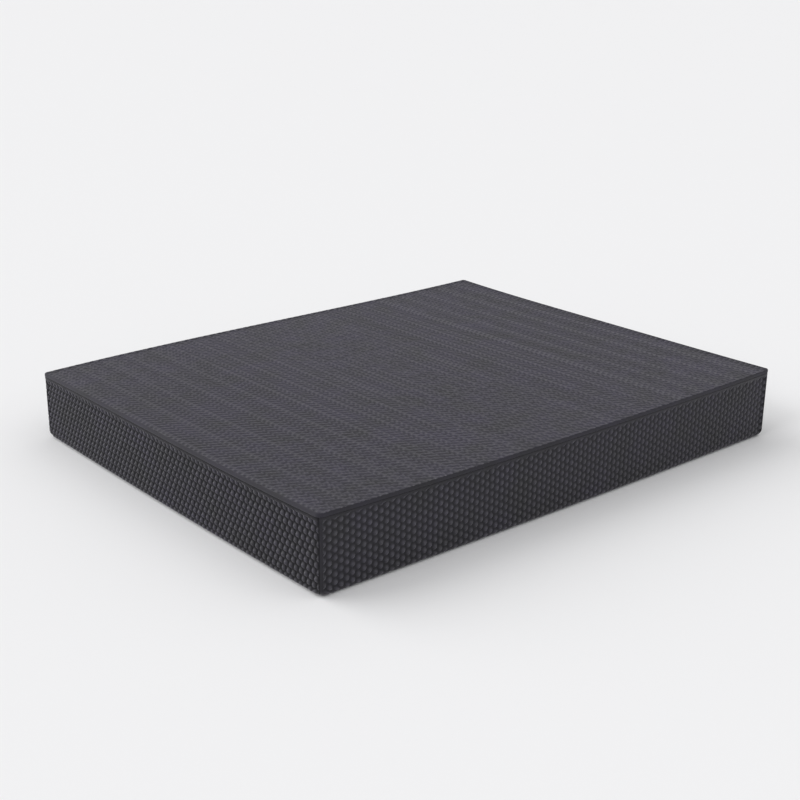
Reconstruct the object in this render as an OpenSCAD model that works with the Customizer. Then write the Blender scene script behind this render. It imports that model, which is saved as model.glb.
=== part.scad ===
// Balance pad: a soft rectangular block for standing on in physiotherapy.
//
// A laminated closed-cell foam core is wrapped in thin rubbery skins. The top
// cover is a flat sheet that overhangs the sides by a hair, the four side skins
// are mitred at the corners and curl under the lower edge, and the bottom cover
// fills the flat left between them. Units are millimetres. The origin is the
// middle of the footprint on the floor, +X runs along the length, +Z is up.

/* [Pad] */
// Overall length of the pad
pad_length = 500; // [300:10:600]
// Overall width of the pad
pad_width = 400; // [250:10:500]
// Overall height of the pad
pad_height = 60; // [40:1:90]

/* [Skins] */
// Thickness of the top and bottom covers
cover_thickness = 3; // [2:0.5:4]
// Thickness of the four side skins
side_thickness = 3; // [2:0.5:4]
// How far the top cover overhangs the side skins
cover_overhang = 0.5; // [0.2:0.1:1]

/* [Edges] */
// Radius of the vertical corners, seen from above
corner_radius = 4; // [3:0.5:6]
// Radius of the top cover's upper rim
rim_radius = 1.5; // [0.5:0.25:1.75]
// Radius of the rounded lower edge
lower_edge_radius = 7; // [5:0.5:10]

/* [Hidden] */
side_length = pad_length - 2 * cover_overhang;
side_width = pad_width - 2 * cover_overhang;
side_height = pad_height - cover_thickness;
core_length = side_length - 2 * side_thickness;
core_width = side_width - 2 * side_thickness;
core_edge_radius = lower_edge_radius - side_thickness;
core_height = pad_height - 2 * cover_thickness;
// Foam plies in the core, one node each
ply_count = 3;
ply_thickness = core_height / ply_count;
bottom_length = side_length - 2 * lower_edge_radius;
bottom_width = side_width - 2 * lower_edge_radius;
// Half size of a region that reaches past the pad on every side
reach = pad_length;
skin_colour = [0.20, 0.20, 0.22];
core_colour = [0.28, 0.28, 0.30];
$fn = 64;

// Rectangle centred on the origin, with all four corners rounded
module rounded_rectangle(length, width, radius) {
    square([length - 2 * radius, width], center = true);
    square([length, width - 2 * radius], center = true);
    for (x = [-1, 1], y = [-1, 1])
        translate([x * (length / 2 - radius), y * (width / 2 - radius)])
            circle(r = radius);
}

// Section standing on the X axis, with either its lower or its upper pair of
// corners rounded
module edge_section(length, height, radius, upper) {
    straight = height - radius;
    translate([-length / 2, upper ? 0 : radius])
        square([length, straight]);
    translate([-length / 2 + radius, upper ? straight : 0])
        square([length - 2 * radius, radius]);
    for (x = [-1, 1])
        translate([x * (length / 2 - radius), upper ? straight : radius])
            circle(r = radius);
}

// Section swept along the Y axis, past both ends of the pad
module swept_along_y() {
    rotate([90, 0, 0])
        linear_extrude(height = 2 * reach, center = true)
            children();
}

// Section swept along the X axis, past both ends of the pad
module swept_along_x() {
    rotate([0, 0, 90])
        swept_along_y()
            children();
}

// Block whose outline has corners of plan_radius, and whose lower or upper
// edge is rounded all the way round with edge_radius
module rounded_block(length, width, height, plan_radius, edge_radius, upper) {
    intersection() {
        linear_extrude(height = height)
            rounded_rectangle(length, width, plan_radius);
        swept_along_y()
            edge_section(length, height, edge_radius, upper);
        swept_along_x()
            edge_section(width, height, edge_radius, upper);
    }
}

// Everything below the top cover, as one block
module wrapped_block() {
    rounded_block(side_length, side_width, side_height,
        corner_radius, lower_edge_radius, upper = false);
}

// The whole core before it is divided into plies
module core_block() {
    translate([0, 0, cover_thickness])
        intersection() {
            translate([-core_length / 2, -core_width / 2, 0])
                cube([core_length, core_width, core_height]);
            swept_along_y()
                edge_section(core_length, core_height, core_edge_radius, false);
            swept_along_x()
                edge_section(core_width, core_height, core_edge_radius, false);
        }
}

// The flat sheet under the core
module bottom_sheet() {
    translate([-bottom_length / 2, -bottom_width / 2, 0])
        cube([bottom_length, bottom_width, cover_thickness]);
}

// The share of the outline that belongs to the front side of a block of this
// span: a wedge between mitre lines that leave its corners at 45 degrees
module mitre_wedge(span, offset_out) {
    depth = 2 * lower_edge_radius;
    linear_extrude(height = pad_height)
        polygon([
            [-span / 2 - depth, -offset_out - depth],
            [span / 2 + depth, -offset_out - depth],
            [span / 2 - depth, -offset_out + depth],
            [-span / 2 + depth, -offset_out + depth]
        ]);
}

// Wall left when the core and the bottom sheet are taken out of the block
module skin_wall() {
    difference() {
        wrapped_block();
        core_block();
        bottom_sheet();
    }
}

// Side skin across the length of the pad, on its front
module long_side_skin() {
    intersection() {
        skin_wall();
        mitre_wedge(side_length, side_width / 2);
    }
}

// Side skin across the width of the pad, on its left
module short_side_skin() {
    intersection() {
        skin_wall();
        rotate([0, 0, -90])
            mitre_wedge(side_width, side_length / 2);
    }
}

// One ply of the core, counted from the bottom
module core_ply(index) {
    intersection() {
        core_block();
        translate([-reach, -reach, cover_thickness + index * ply_thickness])
            cube([2 * reach, 2 * reach, ply_thickness]);
    }
}

module top_cover() {
    color(skin_colour)
        translate([0, 0, side_height])
            rounded_block(pad_length, pad_width, cover_thickness,
                corner_radius, rim_radius, upper = true);
}

module bottom_cover() {
    color(skin_colour)
        bottom_sheet();
}

module front_side_skin() {
    color(skin_colour)
        long_side_skin();
}

module back_side_skin() {
    color(skin_colour)
        mirror([0, 1, 0])
            long_side_skin();
}

module left_side_skin() {
    color(skin_colour)
        short_side_skin();
}

module right_side_skin() {
    color(skin_colour)
        mirror([1, 0, 0])
            short_side_skin();
}

module upper_core_ply() {
    color(core_colour)
        core_ply(2);
}

module middle_core_ply() {
    color(core_colour)
        core_ply(1);
}

module lower_core_ply() {
    color(core_colour)
        core_ply(0);
}

top_cover();
bottom_cover();
front_side_skin();
back_side_skin();
left_side_skin();
right_side_skin();
upper_core_ply();
middle_core_ply();
lower_core_ply();
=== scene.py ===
"""Balance pad: embossed rubbery skins wrapped round a laminated foam core.

All positions are in metres in the CAD frame: +X runs along the pad's length, +Z
is up and z = 0 is the floor. Each skin is drawn flat as a pattern, filled with
close-packed pebbles, and then wrapped over the shape that its CAD node holds.
"""

import math

import bpy
import numpy as np
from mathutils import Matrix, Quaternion, Vector
from mathutils.geometry import delaunay_2d_cdt


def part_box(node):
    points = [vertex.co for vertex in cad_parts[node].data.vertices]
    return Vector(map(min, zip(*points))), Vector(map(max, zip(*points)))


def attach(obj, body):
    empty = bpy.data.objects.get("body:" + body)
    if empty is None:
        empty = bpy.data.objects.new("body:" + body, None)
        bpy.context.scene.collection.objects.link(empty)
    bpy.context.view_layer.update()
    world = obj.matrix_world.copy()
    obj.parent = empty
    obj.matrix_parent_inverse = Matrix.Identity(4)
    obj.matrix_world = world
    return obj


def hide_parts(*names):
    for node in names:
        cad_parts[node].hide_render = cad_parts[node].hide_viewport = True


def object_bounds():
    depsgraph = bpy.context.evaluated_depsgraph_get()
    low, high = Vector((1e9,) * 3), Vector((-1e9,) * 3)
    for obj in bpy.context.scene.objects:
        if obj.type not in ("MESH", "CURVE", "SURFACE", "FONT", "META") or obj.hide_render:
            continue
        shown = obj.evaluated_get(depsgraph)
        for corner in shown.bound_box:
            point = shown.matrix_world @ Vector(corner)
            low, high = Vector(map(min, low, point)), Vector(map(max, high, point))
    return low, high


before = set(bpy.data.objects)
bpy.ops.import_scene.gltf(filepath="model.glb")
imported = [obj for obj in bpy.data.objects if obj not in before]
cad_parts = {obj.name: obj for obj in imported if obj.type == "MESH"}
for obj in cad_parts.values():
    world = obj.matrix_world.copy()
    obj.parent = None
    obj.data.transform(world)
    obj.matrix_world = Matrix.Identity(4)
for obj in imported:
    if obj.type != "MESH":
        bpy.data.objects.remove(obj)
cad_low, cad_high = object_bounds()

MM = 0.001
QUARTER_TURN = math.pi / 2

# ---------------------------------------------------------------- dimensions
# The pad's driving sizes come from the CAD boxes.
cover_low, cover_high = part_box("top_cover")
sheet_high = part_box("bottom_cover")[1]
ply_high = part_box("upper_core_ply")[1]
wall_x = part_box("right_side_skin")[1].x
wall_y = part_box("back_side_skin")[1].y

PAD_TOP = cover_high.z
SEAM = cover_low.z             # between the top cover and the side skins
SIDE_THICKNESS = wall_x - ply_high.x
LOWER_RADIUS = wall_x - sheet_high.x   # how far the side skins reach under the pad

CORNER_RADIUS = 4.0 * MM       # vertical corners, seen from above
CORNER_SPREAD = 8.6 * MM       # how much rounder a corner gets down to the floor
EDGE_RADIUS = 5.5 * MM         # lower edge of the side skins, a little crisper than CAD
RIM_RADIUS = 0.9 * MM          # upper rim of the top cover
RIM_TUCK = 0.4 * MM            # how far the settled cover draws in at its edges
HEM_RADIUS = 0.35 * MM         # lower rim of the top cover, over the seam
BORDER_RADIUS = 0.5 * MM       # upper edge of the side skins, under the seam
CUT_RADIUS = 0.3 * MM          # edges of the side skins that nobody sees

# Embossing: pebbles packed like a honeycomb, with grooves between them.
PITCH = 5.77 * MM              # from one pebble to the next
ROW = PITCH * math.sqrt(3) / 2  # from one row of pebbles to the next
LONG_RELIEF = 2.1 * MM         # depth of the grooves in the front and back skins
SHORT_RELIEF = 2.5 * MM        # and in the left and right skins
COVER_RELIEF = 1.6 * MM        # and in the covers, which are pressed flatter
UNEVEN = 0.18                  # how much lower the lowest pebbles are moulded
FADE = 0.5 * MM                # how fast the embossing dies out at a plain strip
COVER_BORDER = 0.5 * MM        # plain strip inside the rim of a cover
SIDE_BORDER = 2.4 * MM         # plain strip under the seam
LONG_END = 2.6 * MM            # plain strip at each end of the front and back skins
SHORT_END = 0.8 * MM           # and of the left and right skins
SEAM_GROOVE = 0.9 * MM         # half width of the groove at a vertical corner
SEAM_DEPTH = 0.15              # its depth, as a share of the embossing's
SEAM_POWER = 1.5               # its profile: 1 makes a V, and more makes it hollower
PRESSED = 0.9                  # share of the embossing that the floor presses flat
PRESSED_EARLY = 1.4            # how soon that is reached as the lower edge rolls under

# Tones run from 0 in a groove to 1 on a crown, and the materials read them: they paint shade into
# the base colour, darkest where the tone is lowest.
PLAIN_SHADE = 0.03             # tone of the plain strips, as dark as a groove: painted shade along the rims and the seam
CORNER_SHADE = 0.08            # tone of the folded vertical corners: painted shade, darker than the faces next to them
HIDDEN_SHADE = 0.7             # painted shade: share of its tone that an edge loses where it turns into a seam, out of sight

# Softness: how the foam has settled.
SWELL = 1.033                  # the foam stands slightly taller than its nominal size
BULGE = 1.0 * MM               # the sides swell in the middle and pull in at the ends
CORNER_LIFTS = {               # how much higher the top stands at each corner
    (-1, -1): 1.45 * MM,
    (1, -1): 1.10 * MM,
    (-1, 1): -2.6 * MM,
    (1, 1): 2.60 * MM,
}
CORNER_SQUEEZE = 25 * MM       # length over which a skin gives way to the rounder corner

# Fineness of the meshes. Rings list, as (share, count), how far out and how many
# points lie round the centre of each pebble.
COVER_RINGS = ((0.5, 6), (1.0, 6))
SIDE_RINGS = ((0.35, 6), (0.66, 12), (1.0, 12))
SECTION_STEP = 0.1 * MM        # between the points of a section
RIM_STEP = 3 * MM              # along the rim of a sheet
CORNER_STEP = 0.8 * MM         # round its corners
CORNER_STEPS = 3               # and the fewest steps there
SKIN_STEP = 4 * MM             # along the edges of a side skin
SEAM_STEPS = np.array([0, 0.3, 0.6, 1.0, 1.6, 2.4]) * SEAM_GROOVE   # from its ends
UPPER_STEPS = np.array([0, 0.5, 1.0, 1.5])   # shares of the arc at its upper edge
EVEN_FROM = 1.0 * MM           # below that arc, where the even levels start
OUTER_LEVELS = 36              # down the face of a side skin
INNER_LEVELS = 30              # back up inside it
SHEET_LATTICE = (26, 21)       # across the bonded face of a sheet, in x and in y
PLY_LATTICE = (60, 48)         # across a foam ply, and along its sides
PLY_LEVELS = 13                # up the side of a ply
PLY_CORNER_STEPS = 5
PLY_CORNER = 0.6 * MM          # smallest radius of a ply's vertical corners
PLY_GAP = 0.1 * MM             # left free all round a ply
SAME_PLACE = 1e-6              # in millimetres, when a pattern is filled with triangles
TINY = 1e-9                    # keeps a length from being divided by nothing
MERGE = 0.01 * MM              # pattern points nearer than this become one
MERGE_SHIFT = 0.37             # keeps the limits of the merging grid off the pebbles

# ------------------------------------------------------------------ patterns


def section(*stretches):
    """Outline of a cut edge, as (distance along it, outward, down, heading).

    Each stretch is (length, turn in degrees). The outline starts flat, heading
    outwards, and a positive turn bends it down and then back underneath."""
    distance, outward, down, heading = [0.0], [0.0], [0.0], [0.0]
    for length, turn in stretches:
        count = max(2, math.ceil(length / SECTION_STEP))
        for _ in range(count):
            middle = heading[-1] + math.radians(turn) / count / 2
            distance.append(distance[-1] + length / count)
            outward.append(outward[-1] + math.cos(middle) * length / count)
            down.append(down[-1] + math.sin(middle) * length / count)
            heading.append(heading[-1] + math.radians(turn) / count)
    return tuple(np.array(a) for a in (distance, outward, down, heading))


def along(outline, distance):
    """Outward, down and heading at these distances along a section."""
    return [np.interp(distance, outline[0], a) for a in outline[1:]]


def quarter(radius):
    """A stretch that turns through a right angle."""
    return (radius * QUARTER_TURN, 90)


def turned(points, columns_along_y):
    """Pattern points with x across the columns of pebbles and y along them."""
    return points if columns_along_y else points[:, ::-1]


def luck(places):
    """A number from 0 to 1 for each place, the same one in every run. The usual
    constants for this make it look random."""
    return np.modf(np.abs(np.sin(places @ (12.9898, 78.233))) * 43758.5453)[0]


def embossing(points, columns_along_y):
    """Height of the embossing: 0 at the bottom of a groove and 1 on a crown."""
    p = turned(points, columns_along_y)
    cell = np.array([2 * ROW, PITCH])
    offsets = [p - np.round((p - start) / cell) * cell - start
               for start in (np.zeros(2), cell / 2)]
    nearer = np.linalg.norm(offsets[0], axis=1) < np.linalg.norm(offsets[1], axis=1)
    offset = np.where(nearer[:, None], offsets[0], offsets[1])
    share = np.linalg.norm(offset, axis=1) / (PITCH / 2)
    centre = (p - offset) / cell * 2
    crown = 0.5 + 0.5 * np.cos(math.pi * np.minimum(share, 1))
    return crown * (1 - UNEVEN * luck(centre))


def pebbles(low, high, columns_along_y, rings):
    """Pattern points that follow the pebbles between two corners of the pattern."""
    box = turned(np.array([low, high]), columns_along_y)
    columns = np.arange(math.floor(box[0, 0] / ROW) - 1, math.ceil(box[1, 0] / ROW) + 2)
    steps = np.arange(math.floor(box[0, 1] / PITCH) - 1, math.ceil(box[1, 1] / PITCH) + 2)
    i, j = np.meshgrid(columns, steps)
    centres = np.column_stack([i.ravel() * ROW, (j.ravel() + (i.ravel() % 2) / 2) * PITCH])
    points = [centres]
    for share, count in rings:
        for k in range(count):
            # A pebble's cell is a hexagon, whose corners lie further out than its sides.
            angle = 2 * math.pi * k / count
            corner = k % (count // 6) == 0
            reach = share * (PITCH / math.sqrt(3) if corner else PITCH / 2)
            points.append(centres + reach * np.array([math.cos(angle), math.sin(angle)]))
    points = turned(np.concatenate(points), columns_along_y)
    inside = np.all((points > np.array(low)) & (points < np.array(high)), axis=1)
    points = points[inside]
    near = np.floor(points / MERGE + MERGE_SHIFT).astype(int)
    _, first = np.unique(near, axis=0, return_index=True)
    return points[first]


def rounded_loop(half_x, half_y, radius, corner_steps, spans):
    """Closed loop of points round a rectangle with rounded corners. spans are the
    numbers of steps along a side in x and along a side in y."""
    loop = []
    for quadrant in range(4):
        flip_x = 1 if quadrant in (0, 3) else -1
        flip_y = 1 if quadrant in (0, 1) else -1
        centre = np.array([flip_x * (half_x - radius), flip_y * (half_y - radius)])
        for k in range(corner_steps + 1):
            angle = QUARTER_TURN * (quadrant + k / corner_steps)
            loop.append(centre + radius * np.array([math.cos(angle), math.sin(angle)]))
        straight = 2 * ((half_x, half_y)[quadrant % 2] - radius)
        ahead = np.array([(-1, 0), (0, -1), (1, 0), (0, 1)][quadrant])
        count = spans[quadrant % 2]
        start = loop[-1]
        loop += [start + ahead * straight * k / count for k in range(1, count)]
    return np.array(loop)


def sheet_loop(half_x, half_y, radius):
    """A rounded loop whose points lie as far apart as they should on a sheet."""
    corner_steps = max(CORNER_STEPS, math.ceil(radius * QUARTER_TURN / CORNER_STEP))
    spans = [round(2 * (half - radius) / RIM_STEP) for half in (half_x, half_y)]
    return rounded_loop(half_x, half_y, radius, corner_steps, spans)


def lattice(half_x, half_y, counts):
    """Even rows of points inside a rectangle, without those on its edges."""
    return np.array([
        (x, y)
        for x in np.linspace(-half_x, half_x, counts[0])[1:-1]
        for y in np.linspace(-half_y, half_y, counts[1])[1:-1]
    ])


def triangulated(points, loop_length):
    """Triangles that fill the closed loop made by the first points."""
    edges = [(k, (k + 1) % loop_length) for k in range(loop_length)]
    flat = [Vector(p) for p in points / MM]
    # Output type 1 keeps only what lies inside the loop.
    _, _, faces, origins, *_ = delaunay_2d_cdt(flat, edges, [], 1, SAME_PLACE, True)
    return [tuple(origins[v][0] for v in face) for face in faces]


def backwards(faces):
    """The same faces, looking the other way."""
    return [tuple(reversed(face)) for face in faces]


def lid(points, ring, inner, height, up):
    """Closes a ring, given by the numbers of its points, with a flat face that has
    inner points too. Returns all the points and the faces of the lid."""
    numbers = list(ring) + [len(points) + k for k in range(len(inner))]
    flat = np.concatenate([points[list(ring), :2], inner])
    faces = [tuple(numbers[v] for v in face) for face in triangulated(flat, len(ring))]
    added = np.column_stack([inner, np.full(len(inner), height)])
    return np.concatenate([points, added]), faces if up else backwards(faces)


# ------------------------------------------------------------------- shaping


def settled(points):
    """Where these points of the pad lie once the soft foam has settled."""
    p = np.array(points, float)
    p[:, 2] = np.maximum(p[:, 2], 0)
    half = np.array([cad_high.x, cad_high.y])
    share = np.clip(np.abs(p[:, :2]) / half, 0, 1)
    # Each side moves out halfway along it and in at its ends, and the foam further
    # inside hardly follows.
    swell = BULGE * (1 - 2 * share[:, ::-1] ** 2) * share ** 4
    p[:, :2] += np.sign(p[:, :2]) * swell
    # A corner's lift grows with the height and dies out quickly away from the corner.
    rise = p[:, 2] / PAD_TOP * (share[:, 0] * share[:, 1]) ** 3
    p[:, 2] *= SWELL
    for side, lift in CORNER_LIFTS.items():
        nearest = np.all(p[:, :2] * side > 0, axis=1)
        p[:, 2] += np.where(nearest, lift, 0) * rise
    return p


def corner_centre(height):
    """How far inside both walls the centre of a vertical corner lies."""
    low = np.clip(1 - height / EDGE_RADIUS, 0, 1)
    return CORNER_RADIUS + CORNER_SPREAD * low ** 2


def make_piece(name, points, faces, tones, node):
    """A closed piece that stands for a CAD node, with its tones as an attribute, from which the
    materials paint shade.
    """
    used = sorted({v for face in faces for v in face})
    place = {old: new for new, old in enumerate(used)}
    faces = [tuple(place[v] for v in face) for face in faces]
    points, tones = points[used], tones[used]
    mesh = bpy.data.meshes.new(name)
    mesh.from_pydata([tuple(p) for p in settled(points)], [], faces)
    # The tones go into an attribute that the materials turn into painted shade.
    relief = mesh.attributes.new("relief", "FLOAT", "POINT")
    relief.data.foreach_set("value", np.asarray(tones, np.float32))
    mesh.update()
    mesh.validate()
    mesh.polygons.foreach_set("use_smooth", [True] * len(mesh.polygons))
    piece = bpy.data.objects.new(name, mesh)
    bpy.context.scene.collection.objects.link(piece)
    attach(piece, "root")
    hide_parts(node)
    return piece


def rolled_over(pattern, edge, flat_x, flat_y, flat):
    """A sheet's pattern with its margin rolled over its edge: where its points lie
    from above, how far they drop, and their heading. The part that stays flat is a
    rectangle with corners of radius flat."""
    core = np.clip(pattern, (flat - flat_x, flat - flat_y), (flat_x - flat, flat_y - flat))
    away = pattern - core
    reach = np.linalg.norm(away, axis=1)
    outward = away / np.maximum(reach, TINY)[:, None]
    grown, dropped, heading = along(edge, np.maximum(reach - flat, 0))
    return core + outward * (np.minimum(reach, flat) + grown)[:, None], dropped, heading


def embossed_sheet(name, node, half_x, half_y, corner, rims, low, high, faces_up):
    """A flat sheet with one embossed face and rounded rims. rims are the radii of
    its embossed and of its bonded edge."""
    upright = high - low - sum(rims)
    edge = section(quarter(rims[0]), (upright, 0), quarter(rims[1]))
    flat = corner - rims[0]
    flat_x, flat_y = half_x - rims[0], half_y - rims[0]

    # Pattern: loops round the margin, from the outermost in, and then the pebbles.
    stops = [0, rims[0] * QUARTER_TURN / 2, rims[0] * QUARTER_TURN]
    lower = stops[-1] + upright
    stops += [lower, lower + rims[1] * QUARTER_TURN / 2, edge[0][-1]]
    loops = [sheet_loop(flat_x + s, flat_y + s, flat + s) for s in reversed(stops)]
    field = np.array([flat_x - COVER_BORDER, flat_y - COVER_BORDER])
    pattern = np.concatenate(loops + [pebbles(-field, field, True, COVER_RINGS)])
    mask = np.clip(np.min(field - np.abs(pattern), axis=1) / FADE, 0, 1)
    mask[:sum(len(loop) for loop in loops)] = 0
    bumps = embossing(pattern, True)
    heights = 1 - mask * (1 - bumps)
    faces = triangulated(pattern, len(loops[0]))

    plan, dropped, heading = rolled_over(pattern, edge, flat_x, flat_y, flat)
    points = np.column_stack([plan, high - dropped - COVER_RELIEF * (1 - heights)])
    # Painted shade: the plain strips round the rim take a groove's dark tone.
    tones = PLAIN_SHADE + mask * (bumps - PLAIN_SHADE)
    # Painted shade: the edge darkens where it turns under into the seam.
    tones *= 1 - HIDDEN_SHADE * np.clip(heading / QUARTER_TURN - 1, 0, 1)

    # Close it with the plain face that is bonded to the core.
    inner = lattice(half_x, half_y, SHEET_LATTICE)
    points, back = lid(points, range(len(loops[0])), inner, low, up=False)
    tones = np.concatenate([tones, np.ones(len(inner))])
    faces += back
    if not faces_up:
        points[:, 2] = low + high - points[:, 2]
        faces = backwards(faces)
    return make_piece(name, points, faces, tones, node)


# The cut edge of a side skin, once round: down its face from the seam, under the
# lower edge, back up along the core, and outwards to the seam again.
FACE = SEAM - BORDER_RADIUS - EDGE_RADIUS
TUCK = LOWER_RADIUS - EDGE_RADIUS
SIDE_SECTION = section(
    quarter(BORDER_RADIUS), (FACE, 0), quarter(EDGE_RADIUS), (TUCK, 0),
    quarter(CUT_RADIUS), (SIDE_THICKNESS - 2 * CUT_RADIUS, 0), quarter(CUT_RADIUS),
    (TUCK, 0), ((EDGE_RADIUS - SIDE_THICKNESS) * QUARTER_TURN, -90),
    (SEAM - EDGE_RADIUS - CUT_RADIUS, 0), quarter(CUT_RADIUS),
    (SIDE_THICKNESS - BORDER_RADIUS - CUT_RADIUS, 0),
)
UPPER_ARC = BORDER_RADIUS * QUARTER_TURN   # the distance round its upper edge
OUTSIDE = UPPER_ARC + FACE + EDGE_RADIUS * QUARTER_TURN + TUCK   # to where it ends below
GIRTH = SIDE_SECTION[0][-1]                # and all the way round
MITRE = CORNER_RADIUS * QUARTER_TURN / 2   # a skin's share of the arc at a corner


def side_pattern(half, columns_down, end_border):
    """Flat pattern of a side skin: x runs along it, and y once round its section.
    Returns the points, how many of them lie along x and along y on the rim, and
    the share of the embossing at each point."""
    field_low = np.array([end_border - half, UPPER_ARC + SIDE_BORDER])
    field_high = np.array([half - end_border, OUTSIDE])
    field = pebbles(field_low, field_high, columns_down, SIDE_RINGS)
    levels = np.unique(np.concatenate([
        UPPER_ARC * UPPER_STEPS,
        np.linspace(UPPER_ARC + EVEN_FROM, OUTSIDE, OUTER_LEVELS),
        np.linspace(OUTSIDE, GIRTH, INNER_LEVELS),
    ]))
    middle = half - SEAM_STEPS[-1]
    spans = np.concatenate([
        SEAM_STEPS - half,
        np.linspace(-middle, middle, round(2 * half / SKIN_STEP))[1:-1],
        (half - SEAM_STEPS)[::-1],
    ])
    # The rim runs along the first edge, down one end, back along the last edge and
    # up the other end.
    rim = [(x, 0.0) for x in spans]
    rim += [(half, y) for y in levels[1:]]
    rim += [(x, GIRTH) for x in spans[::-1][1:]]
    rim += [(-half, y) for y in levels[::-1][1:-1]]
    plain = [
        (x, y)
        for x in spans[1:-1]
        for y in levels[1:-1]
        if y <= field_low[1] or y >= OUTSIDE or half - abs(x) <= end_border
    ]
    pattern = np.concatenate([np.array(rim), np.array(plain), field])
    inside = np.min(np.minimum(pattern - field_low, field_high + FADE - pattern), axis=1)
    mask = np.clip(inside / FADE, 0, 1)
    mask[:len(rim) + len(plain)] = 0
    return pattern, len(spans), len(levels), mask


def side_skin(name, node, half_length, wall, turn, columns_down, relief, end_border):
    """One side skin, mitred at both ends. half_length is half its own length, wall
    is how far out it stands, and turn is how far round the pad it is placed."""
    straight = half_length - CORNER_RADIUS
    half = straight + MITRE
    pattern, across, down, mask = side_pattern(half, columns_down, end_border)
    along_x, along_y = np.abs(pattern[:, 0]), pattern[:, 1]
    bumps = embossing(pattern, columns_down)
    groove = np.clip(1 - (half - along_x) / SEAM_GROOVE, 0, 1) ** SEAM_POWER
    groove = np.where(along_y <= OUTSIDE, groove, 0)
    heights = np.minimum(1 - mask * (1 - bumps), 1 - SEAM_DEPTH * groove)

    # Roll the pattern round the section, and then bend its ends round the corners.
    outward, dropped, heading = along(SIDE_SECTION, along_y)
    under = np.where(along_y > UPPER_ARC, heading, 0) / QUARTER_TURN - 1
    pressed = PRESSED * np.clip(PRESSED_EARLY * under, 0, 1)
    sink = relief * (1 - heights) * (1 - pressed)
    inset = BORDER_RADIUS - outward + sink * np.sin(heading)
    height = SEAM - dropped - sink * np.cos(heading)
    centre = corner_centre(SEAM - dropped)
    angle = np.clip((along_x - straight) / MITRE, 0, 1) * QUARTER_TURN / 2
    start = straight - CORNER_SQUEEZE
    near_end = np.clip((along_x - start) / CORNER_SQUEEZE, 0, 1)
    x = np.minimum(along_x, start) + near_end * (half_length - centre - start)
    x = np.sign(pattern[:, 0]) * (x + (centre - inset) * np.sin(angle))
    y = -(wall - centre) - (centre - inset) * np.cos(angle)
    cos, sin = math.cos(turn), math.sin(turn)
    points = np.column_stack([cos * x - sin * y, sin * x + cos * y, height])

    # Painted shade: the plain strips under the seam and at the ends take a groove's dark tone.
    tones = PLAIN_SHADE + mask * (bumps - PLAIN_SHADE)
    # Painted shade at the folded vertical corners.
    fold = np.clip(1 - (half - along_x) / (MITRE + end_border), 0, 1)
    # Painted shade on the upper edge of the skin, inside the seam.
    in_seam = np.clip(1 - along_y / UPPER_ARC, 0, 1)
    tones = (tones + fold * (CORNER_SHADE - tones)) * (1 - HIDDEN_SHADE * in_seam)

    # The pattern's last edge meets its first one, so the first one's points serve
    # both, and one face closes each end.
    rim_length = 2 * (across + down) - 4
    last_edge = across + down - 2
    same = {last_edge + k: across - 1 - k for k in range(across)}
    faces = [tuple(same.get(v, v) for v in face) for face in triangulated(pattern, rim_length)]
    right_end = range(across - 1, last_edge)
    left_end = range(rim_length - 1, rim_length - down + 1, -1)
    faces += [tuple(reversed(right_end)), (0, *left_end)]
    return make_piece(name, points, backwards(faces), tones, node)


def foam_ply(name, node):
    """One ply of the core, a hair smaller than the space that its node holds."""
    low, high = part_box(node)
    radius = LOWER_RADIUS - SIDE_THICKNESS
    levels = np.linspace(low.z + PLY_GAP, high.z - PLY_GAP, PLY_LEVELS)
    sizes, loops = [], []
    for z in levels:
        rise = np.clip(1 - (z - sheet_high.z) / radius, 0, 1)
        tuck = radius * (1 - math.sqrt(1 - rise ** 2))
        corner = max(float(corner_centre(z)) - SIDE_THICKNESS - tuck, PLY_CORNER)
        size = (high.x - PLY_GAP - tuck, high.y - PLY_GAP - tuck)
        loop = rounded_loop(*size, corner, PLY_CORNER_STEPS, PLY_LATTICE)
        sizes.append(size)
        loops.append(np.column_stack([loop, np.full(len(loop), z)]))
    points = np.concatenate(loops)
    steps = len(loops[0])
    faces = []
    for first in range(0, steps * (PLY_LEVELS - 1), steps):
        for k in range(steps):
            a, b = first + k, first + (k + 1) % steps
            faces.append((a, b, b + steps, a + steps))
    for level, up in ((0, False), (PLY_LEVELS - 1, True)):
        ring = range(level * steps, (level + 1) * steps)
        inner = lattice(*sizes[level], PLY_LATTICE)
        points, flat = lid(points, ring, inner, levels[level], up)
        faces += flat
    piece = make_piece(name, points, faces, np.ones(len(points)), node)
    return piece


# ----------------------------------------------------------------- materials

SKIN_GRAIN = 2600              # fine grain of the skins, as a noise scale
CORE_GRAIN = 1400              # and of the foam, whose cells are coarser
SKIN_ROUGHNESS = 0.7
CORE_ROUGHNESS = 0.8
MOTTLE = 38                    # broad mottling, as a noise scale
TINTS = ((0.90, 0.92, 0.84), (1.10, 1.06, 1.22))   # the two ends of the mottling
TINT_RANGE = (0.3, 0.7)        # where they lie in its noise
GLOSS_SPREAD = 0.08            # how far the fine grain varies the roughness
TONE_RANGE = (0, 0.9)          # tones over which the shade painted into a groove lifts
POLISH_RANGE = (0.05, 0.65)    # tones over which the polish of a crown sets in
GRAIN_STRENGTH = 0.35
GRAIN_DEPTH = 0.15 * MM
ELASTOMER = {                  # the same for every foam material
    "Specular IOR Level": 0.15,
    "Coat Roughness": 0.36,
    "Coat IOR": 1.4,
    "Sheen Weight": 0.2,
    "Sheen Roughness": 0.4,
    "Sheen Tint": (0.92, 0.90, 1.0, 1),
}
FLOOR_COLOUR = (0.86, 0.86, 0.87, 1)
FLOOR_ROUGHNESS = (0.86, 0.94)


def new_material(name):
    """A material with its node tree and its surface shader."""
    material = bpy.data.materials.new(name)
    material.use_nodes = True
    return material, material.node_tree, material.node_tree.nodes["Principled BSDF"]


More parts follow.
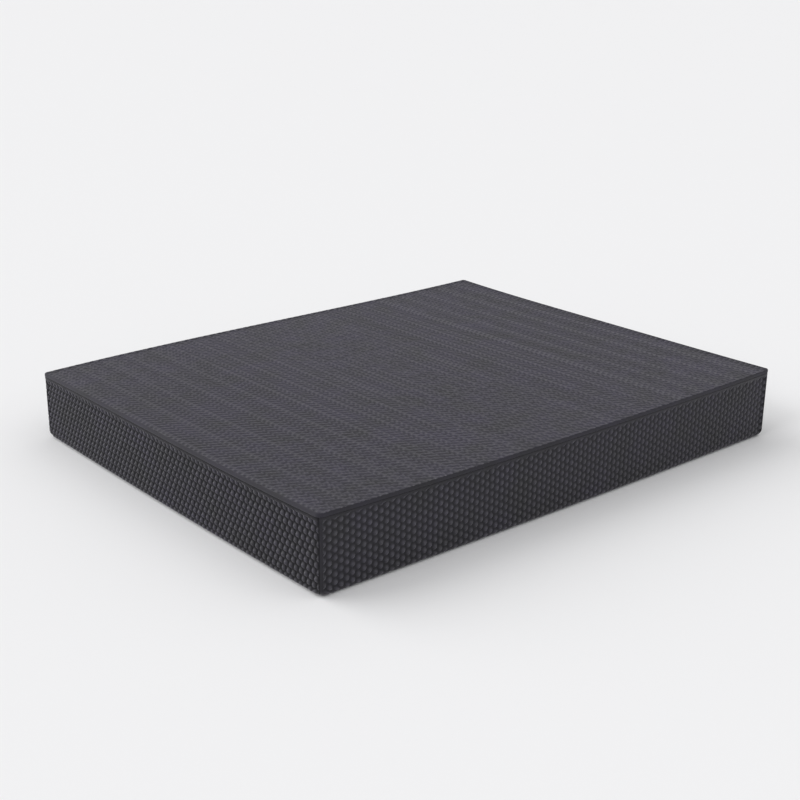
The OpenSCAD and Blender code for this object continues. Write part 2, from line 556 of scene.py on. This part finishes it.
def noise(tree, scale, detail):
    """Noise in the coordinates of the piece itself, as an output."""
    place = tree.nodes.new("ShaderNodeTexCoord")
    texture = tree.nodes.new("ShaderNodeTexNoise")
    texture.inputs["Scale"].default_value = scale
    texture.inputs["Detail"].default_value = detail
    tree.links.new(place.outputs["Object"], texture.inputs["Vector"])
    return texture.outputs["Fac"]


def mapped(tree, value, to_range, from_range=(0, 1)):
    """One range of values mapped onto another, as an output."""
    node = tree.nodes.new("ShaderNodeMapRange")
    limits = (*from_range, *to_range)
    for name, limit in zip(("From Min", "From Max", "To Min", "To Max"), limits):
        node.inputs[name].default_value = limit
    tree.links.new(value, node.inputs["Value"])
    return node.outputs["Result"]


def foam_material(name, colour, groove_shade, groove_polish, crown_polish,
                  grain=SKIN_GRAIN, roughness=SKIN_ROUGHNESS):
    """Matt charcoal elastomer: mottled, finely grained, with shade painted by the tones into its
    grooves, seams and corners.
    """
    material, tree, shader = new_material(name)
    for setting, value in ELASTOMER.items():
        shader.inputs[setting].default_value = value
    fine = noise(tree, scale=grain, detail=3)

    shade = tree.nodes.new("ShaderNodeValToRGB")
    for element, tint, position in zip(shade.color_ramp.elements, TINTS, TINT_RANGE):
        element.position = position
        element.color = (*[c * t for c, t in zip(colour, tint)], 1)
    tree.links.new(noise(tree, scale=MOTTLE, detail=4), shade.inputs["Fac"])

    relief = tree.nodes.new("ShaderNodeAttribute")
    relief.attribute_name = "relief"
    tone = relief.outputs["Fac"]
    # Painted shade: the base colour darkens with the tone, down to groove_shade in a groove.
    painted_shade = tree.nodes.new("ShaderNodeVectorMath")
    painted_shade.operation = "SCALE"
    tree.links.new(shade.outputs["Color"], painted_shade.inputs[0])
    tree.links.new(mapped(tree, tone, (groove_shade, 1), TONE_RANGE), painted_shade.inputs["Scale"])
    tree.links.new(painted_shade.outputs["Vector"], shader.inputs["Base Color"])

    gloss = mapped(tree, fine, (roughness - GLOSS_SPREAD, roughness + GLOSS_SPREAD))
    tree.links.new(gloss, shader.inputs["Roughness"])

    # The crowns, which touch the mould, are polished most.
    polish = mapped(tree, tone, (groove_polish, crown_polish), POLISH_RANGE)
    tree.links.new(polish, shader.inputs["Coat Weight"])

    bump = tree.nodes.new("ShaderNodeBump")
    bump.inputs["Strength"].default_value = GRAIN_STRENGTH
    bump.inputs["Distance"].default_value = GRAIN_DEPTH
    tree.links.new(fine, bump.inputs["Height"])
    tree.links.new(bump.outputs["Normal"], shader.inputs["Normal"])
    return material


def floor_material():
    """Plain pale studio floor with a hardly visible unevenness in its gloss."""
    material, tree, shader = new_material("studio_floor")
    shader.inputs["Base Color"].default_value = FLOOR_COLOUR
    shader.inputs["Specular IOR Level"].default_value = 0.1
    gloss = mapped(tree, noise(tree, scale=3, detail=2), FLOOR_ROUGHNESS)
    tree.links.new(gloss, shader.inputs["Roughness"])
    return material


# --------------------------------------------------------------------- build

pad_x, pad_y = cover_high.x - RIM_TUCK, cover_high.y - RIM_TUCK
sheet_corner = CORNER_RADIUS + CORNER_SPREAD - LOWER_RADIUS
covers = [
    embossed_sheet(
        "embossed_top_cover", "top_cover", pad_x, pad_y, CORNER_RADIUS,
        (RIM_RADIUS, HEM_RADIUS), SEAM, PAD_TOP, faces_up=True,
    ),
    embossed_sheet(
        "embossed_bottom_cover", "bottom_cover", sheet_high.x, sheet_high.y,
        sheet_corner, (HEM_RADIUS, HEM_RADIUS), 0.0, sheet_high.z, faces_up=False,
    ),
]

long_skin = dict(
    half_length=wall_x, wall=wall_y, columns_down=True, relief=LONG_RELIEF, end_border=LONG_END
)
long_sides = [
    side_skin("embossed_front_skin", "front_side_skin", turn=0, **long_skin),
    side_skin("embossed_back_skin", "back_side_skin", turn=2 * QUARTER_TURN, **long_skin),
]

short_skin = dict(
    half_length=wall_y, wall=wall_x, columns_down=False, relief=SHORT_RELIEF, end_border=SHORT_END
)
short_sides = [
    side_skin("embossed_left_skin", "left_side_skin", turn=-QUARTER_TURN, **short_skin),
    side_skin("embossed_right_skin", "right_side_skin", turn=QUARTER_TURN, **short_skin),
]

plies = [
    foam_ply(f"foam_{place}_ply", f"{place}_core_ply") for place in ("upper", "middle", "lower")
]

# Painted light: one elastomer in lit and shaded copies. The covers and the left and right skins
# are painted lighter than the front and back skins, and the shade painted into the grooves is
# lightest on the covers and darkest on the left and right skins.
cover_material = foam_material(
    "cover_skin", colour=(0.062, 0.059, 0.074),
    groove_shade=0.42, groove_polish=0.12, crown_polish=0.38,
)
long_material = foam_material(
    "long_side_skin", colour=(0.052, 0.0493, 0.063),
    groove_shade=0.24, groove_polish=0.38, crown_polish=1.0,
)
short_material = foam_material(
    "short_side_skin", colour=(0.060, 0.0566, 0.0735),
    groove_shade=0.05, groove_polish=0.1, crown_polish=1.0,
)
core_material = foam_material(
    "core_foam", colour=(0.055, 0.055, 0.060),
    groove_shade=0.5, groove_polish=0.0, crown_polish=0.0,
    grain=CORE_GRAIN, roughness=CORE_ROUGHNESS,
)
for pieces, material in (
    (covers, cover_material),
    (long_sides, long_material),
    (short_sides, short_material),
    (plies, core_material),
):
    for piece in pieces:
        piece.data.materials.append(material)

# --------------------------------------------------------------------- stage

FLOOR_SIZE = 60
floor_mesh = bpy.data.meshes.new("studio_floor")
floor_corners = ((-1, -1), (1, -1), (1, 1), (-1, 1))
floor_mesh.from_pydata(
    [(x * FLOOR_SIZE / 2, y * FLOOR_SIZE / 2, 0) for x, y in floor_corners], [], [(0, 1, 2, 3)]
)
floor = bpy.data.objects.new("studio_floor", floor_mesh)
floor.data.materials.append(floor_material())
bpy.context.scene.collection.objects.link(floor)

SURROUND = 0.58                # strength of the even white light from all round
world = bpy.data.worlds.new("studio")
world.use_nodes = True
world.node_tree.nodes["Background"].inputs["Color"].default_value = (1.0, 1.0, 1.0, 1)
world.node_tree.nodes["Background"].inputs["Strength"].default_value = SURROUND
bpy.context.scene.world = world


def aim(thing, azimuth, elevation):
    """Makes a lamp or camera look back at the pad from that direction, in radians.
    Azimuth 0 is in front of the pad, and a right angle is on its right."""
    back = Vector((
        math.sin(azimuth) * math.cos(elevation),
        -math.cos(azimuth) * math.cos(elevation),
        math.sin(elevation),
    ))
    thing.rotation_mode = "QUATERNION"
    thing.rotation_quaternion = back.to_track_quat("Z", "Y")


def sun(name, azimuth, elevation, strength, softness):
    """A lamp that stands far off in that direction, all angles in degrees."""
    lamp = bpy.data.lights.new(name, "SUN")
    lamp.energy = strength
    lamp.angle = math.radians(softness)
    lit = bpy.data.objects.new(name, lamp)
    aim(lit, math.radians(azimuth), math.radians(elevation))
    bpy.context.scene.collection.objects.link(lit)


sun("key_light", azimuth=-145, elevation=36, strength=1.35, softness=60)
sun("side_light", azimuth=-88, elevation=35, strength=0.55, softness=20)
sun("front_light", azimuth=15, elevation=50, strength=0.4, softness=60)

# -------------------------------------------------------------------- camera

# The photo's viewpoint, fitted to the corners and edges of the pad.
CAMERA_PLACE = (-0.73928, -0.85612, 0.43153)
VIEW_AZIMUTH, VIEW_ELEVATION, VIEW_ROLL = map(math.radians, (-40.416, 19.365, 0.561))
camera_data = bpy.data.cameras.new("camera")
camera_data.lens = 61.188
camera_data.sensor_width = 36
camera_data.clip_end = 100
camera = bpy.data.objects.new("camera", camera_data)
camera.location = CAMERA_PLACE
aim(camera, VIEW_AZIMUTH, VIEW_ELEVATION)
camera.rotation_quaternion @= Quaternion((0, 0, 1), VIEW_ROLL)
bpy.context.scene.collection.objects.link(camera)
bpy.context.scene.camera = camera
bpy.context.scene.view_settings.view_transform = "Standard"
